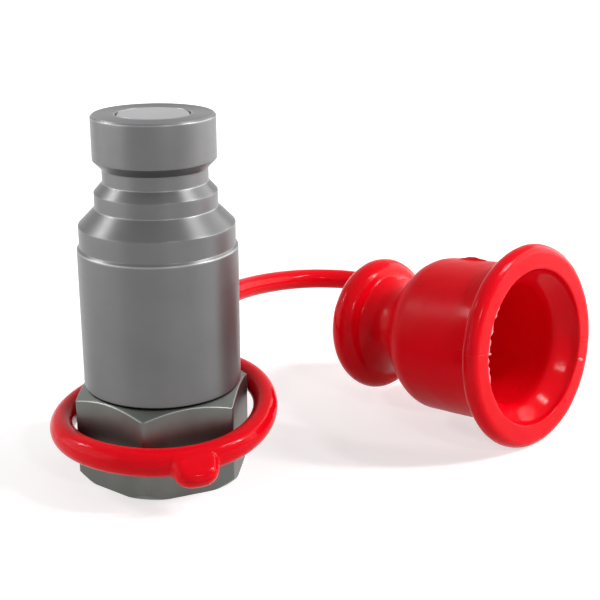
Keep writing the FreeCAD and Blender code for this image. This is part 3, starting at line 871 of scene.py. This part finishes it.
def add_fin(verts, faces, path, height, half, ragged):
    """A low rounded ridge along a path that fades at both ends."""
    root, sides = 0.15, 8
    first, last = len(verts), len(path) - 1
    for i, (spot, out) in enumerate(path):
        along = (path[min(i + 1, last)][0] - path[max(i - 1, 0)][0]).normalized()
        out = (out - along * out.dot(along)).normalized()
        across = along.cross(out)
        swell = math.sin(math.pi * i / last) ** 0.7
        ripple = max(0.15, 1 + ragged * noise.noise(spot * 1.1))
        for j in range(sides + 1):
            side = math.pi * j / sides
            verts.append(spot - out * root + across * half * swell * math.cos(side)
                         + out * height * ripple * swell * math.sin(side) ** 1.5)
    for i in range(last):
        for j in range(sides):
            a, b = first + i * (sides + 1) + j, first + (i + 1) * (sides + 1) + j
            faces.append([a, b, b + 1, a + 1])


def ring_height(angle):
    """The soft ring hangs unevenly round the hexagon."""
    return (RING_HEIGHT + 2.4 * math.cos(angle - math.radians(50))
            + 0.9 * math.cos(2 * (angle - math.radians(54))))


def add_tube(verts, faces, path, radii):
    """A tube with flat ends along a list of points, each with its radius."""
    sides = 24
    first = len(verts)
    for i, here in enumerate(path):
        along = (path[min(i + 1, len(path) - 1)] - path[max(i - 1, 0)]).normalized()
        across = along.cross(Vector((0, 0, 1))).normalized()
        upward = across.cross(along)
        for j in range(sides):
            side = TAU * j / sides
            verts.append(here + (across * math.cos(side) + upward * math.sin(side)) * radii[i])
    for i in range(len(path) - 1):
        for j in range(sides):
            n = (j + 1) % sides
            a, b = first + i * sides, first + (i + 1) * sides
            faces.append([a + j, a + n, b + n, b + j])
    last = first + (len(path) - 1) * sides
    faces.append([first + j for j in reversed(range(sides))])
    faces.append([last + j for j in range(sides)])


def make_ring():
    """Ring, pull tab and the tether's root, melted into one soft skin."""
    verts, faces = [], []
    around, sides = 180, 32
    for i in range(around):
        angle = TAU * i / around
        for j in range(sides):
            side = TAU * j / sides
            radius = RING_RADIUS + RING_HALF_WIDTH * math.cos(side)
            verts.append(Vector((radius * math.cos(angle), radius * math.sin(angle),
                                 ring_height(angle) + RING_HALF_HEIGHT * math.sin(side))))
    for i in range(around):
        for j in range(sides):
            a, b = i * sides, ((i + 1) % around) * sides
            n = (j + 1) % sides
            faces.append([a + j, b + j, b + n, a + n])
    add_tab(verts, faces)
    exit_point, next_point = Vector(TETHER_ROUTE[0]), Vector(TETHER_ROUTE[1])
    inward = (exit_point - next_point).normalized()
    root_length, root_step = 3.9, 0.65
    root_radii = [3.5, 3.4, 3.2, 3.05, 2.95, 2.87, TETHER_RADIUS * TETHER_SWELL[0]]
    path = [exit_point + inward * (root_length - root_step * k) for k in range(len(root_radii))]
    add_tube(verts, faces, path, root_radii)
    mesh = mesh_from("tether_ring_moulding", verts, faces)
    obj = new_object("tether_ring_moulding", mesh, cap_vinyl, "cap_and_tether")
    melt(obj, voxel=0.32, passes=6)
    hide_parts("tether_ring")


def add_tab(verts, faces):
    """A thick round tongue that leaves the ring and droops a little."""
    outward = Vector((math.cos(TAB_HEADING), math.sin(TAB_HEADING), 0))
    aside = Vector((0, 0, 1)).cross(outward)
    turn = Matrix.Rotation(TAB_DROOP, 3, aside)
    base = outward * RING_RADIUS + Vector((0, 0, ring_height(TAB_HEADING) + TAB_RISE))
    centre = base + turn @ outward * TAB_REACH
    soft = TAB_HALF * 0.85
    profile = [(0.0, -TAB_HALF), (TAB_RADIUS - soft, -TAB_HALF)]
    profile += arc_points(profile[-1], (TAB_RADIUS, -TAB_HALF + soft), soft, True, 0.3)
    profile += [(TAB_RADIUS, TAB_HALF - soft)]
    profile += arc_points(profile[-1], (TAB_RADIUS - soft, TAB_HALF), soft, True, 0.3)
    profile += [(0.0, TAB_HALF)]
    count = 60
    rows = []
    for radius, height in profile:
        row = []
        for j in range(count):
            side = TAU * j / count
            square = (abs(math.cos(side)) ** TAB_SQUARENESS
                      + abs(math.sin(side)) ** TAB_SQUARENESS) ** (-1 / TAB_SQUARENESS)
            ahead = max(radius * square * math.cos(side), -TAB_ROOT)
            spot = outward * ahead + aside * radius * square * math.sin(side)
            verts.append(centre + turn @ (spot + Vector((0, 0, height))))
            row.append(len(verts) - 1)
        rows.append(row)
    for lower, upper in zip(rows, rows[1:]):
        for j in range(count):
            n = (j + 1) % count
            faces.append([lower[j], lower[n], upper[n], upper[j]])


def melt(obj, voxel, passes):
    """Joins overlapping shells into one skin and softens the creases between them."""
    remesh = obj.modifiers.new("melt", "REMESH")
    remesh.mode = "VOXEL"
    remesh.voxel_size = voxel * MM
    remesh.use_smooth_shade = True
    smooth = obj.modifiers.new("soften", "SMOOTH")
    smooth.factor = 0.5
    smooth.iterations = passes
    evaluated = obj.evaluated_get(bpy.context.evaluated_depsgraph_get())
    mesh = bpy.data.meshes.new_from_object(evaluated)
    obj.modifiers.clear()
    obj.data = mesh


def make_knob_root(cap):
    """The fillet where the tether runs into the knob's edge."""
    lead, flare, sink = 4.0 * MM, 1.9 * MM, 0.08
    rows, sides = 9, 40
    tree = BVHTree.FromPolygons([v.co for v in cap.data.vertices],
                                [tuple(p.vertices) for p in cap.data.polygons])
    end, before = Vector(TETHER_ROUTE[-1]) * MM, Vector(TETHER_ROUTE[-2]) * MM
    along = (end - before).normalized()
    across = along.cross(Vector((0, 0, 1))).normalized()
    upward = across.cross(along)
    middle = tree.ray_cast(end - along * lead, along)[0] or end
    verts, faces = [], []
    for k in range(rows):
        t = k / (rows - 1)
        for j in range(sides):
            side = TAU * j / sides
            out = across * math.cos(side) + upward * math.sin(side)
            edge = middle + out * TETHER_RADIUS * MM
            low = tree.find_nearest(edge)[0]
            far, normal = tree.find_nearest(middle + out * (TETHER_RADIUS * MM + flare))[:2]
            far = far - normal * sink * MM
            high = edge - along * lead
            spot = high * (1 - t) ** 2 + low * 2 * t * (1 - t) + far * t * t
            verts.append(tuple(spot / MM))
    for k in range(rows - 1):
        for j in range(sides):
            n = (j + 1) % sides
            a, b = k * sides, (k + 1) * sides
            faces.append([a + j, a + n, b + n, b + j])
    mesh = mesh_from("tether_root", verts, faces)
    new_object("tether_root", mesh, cap_vinyl, "cap_and_tether")


# Light, floor and background

def add_area(name, place, target, size, power):
    data = bpy.data.lights.new(name, "AREA")
    data.shape = "RECTANGLE"
    data.size, data.size_y = size
    data.energy = power
    lamp = bpy.data.objects.new(name, data)
    bpy.context.scene.collection.objects.link(lamp)
    lamp.location = place
    lamp.rotation_euler = (Vector(target) - Vector(place)).to_track_quat("-Z", "Y").to_euler()


def sees_white(tree):
    """1 for the kinds of ray that see the white background, and 0 for the others."""
    path = tree.nodes.new("ShaderNodeLightPath")
    value = path.outputs["Is Camera Ray"]
    for kind in ("Is Glossy Ray", "Is Transmission Ray"):
        either = node(tree, "ShaderNodeMath", operation="MAXIMUM")
        tree.links.new(value, either.inputs[0])
        tree.links.new(path.outputs[kind], either.inputs[1])
        value = either.outputs[0]
    return value


def set_world():
    world = bpy.data.worlds.new("studio")
    bpy.context.scene.world = world
    world.use_nodes = True
    tree = world.node_tree
    background = tree.nodes["Background"]
    strength = mix_value(tree, sees_white(tree), low=0.24, high=1.0)
    tree.links.new(strength, background.inputs["Strength"])
    background.inputs["Color"].default_value = (1, 1, 1, 1)


def add_floor():
    """A pale floor that keeps the object's shadow and turns plain white further away."""
    reach, drop = 3.0, 0.00005
    mesh = bpy.data.meshes.new("floor")
    mesh.from_pydata([(-reach, -reach, 0), (reach, -reach, 0), (reach, reach, 0),
                      (-reach, reach, 0)], [], [(0, 1, 2, 3)])
    floor = bpy.data.objects.new("floor", mesh)
    bpy.context.scene.collection.objects.link(floor)
    floor.location = (0, 0, -drop)
    material, tree, shader, place = start_material("pale_floor")
    shader.inputs["Base Color"].default_value = (0.62, 0.62, 0.62, 1)
    shader.inputs["Roughness"].default_value = 0.6
    shader.inputs["Specular IOR Level"].default_value = 0.2
    shader.inputs["Emission Color"].default_value = (1, 1, 1, 1)
    distance = node(tree, "ShaderNodeVectorMath", operation="LENGTH")
    tree.links.new(place, distance.inputs[0])
    glow = node(tree, "ShaderNodeMapRange", From_Min=0.12, From_Max=0.5, To_Min=0.55,
                To_Max=1.0)
    tree.links.new(distance.outputs["Value"], glow.inputs["Value"])
    strength = node(tree, "ShaderNodeMath", operation="MULTIPLY")
    tree.links.new(sees_white(tree), strength.inputs[0])
    tree.links.new(glow.outputs["Result"], strength.inputs[1])
    tree.links.new(strength.outputs[0], shader.inputs["Emission Strength"])
    mesh.materials.append(material)


def add_lights():
    focus = (0.03, 0.03, 0.03)
    add_area("left_panel", (-0.60, -0.15, 0.24), (0.0, -0.10, 0.04), (0.80, 0.46), 2.3)
    add_area("left_box", (-0.50, 0.10, 0.42), focus, (0.06, 0.14), 0.9)
    add_area("right_panel", (0.62, 0.36, 0.24), (0.0, 0.30, 0.04), (0.80, 0.46), 4.0)
    add_area("right_box", (0.60, -0.06, 0.44), focus, (0.06, 0.16), 2.7)
    add_area("top_box", (0.53, -0.092, 0.603), focus, (0.06, 0.06), 1.0)
    add_area("front_box", (0.27, -0.455, 0.331), (0.088, 0.02, 0.014), (0.05, 0.05), 0.45)


add_camera()
make_tether()
make_body()
make_face()
make_adapter()
make_spring()
finish_inner_nodes()
dust_cap = make_cap()
make_flash()
make_knob_root(dust_cap)
make_ring()
set_world()
add_floor()
add_lights()
bpy.context.scene.view_settings.view_transform = "Standard"
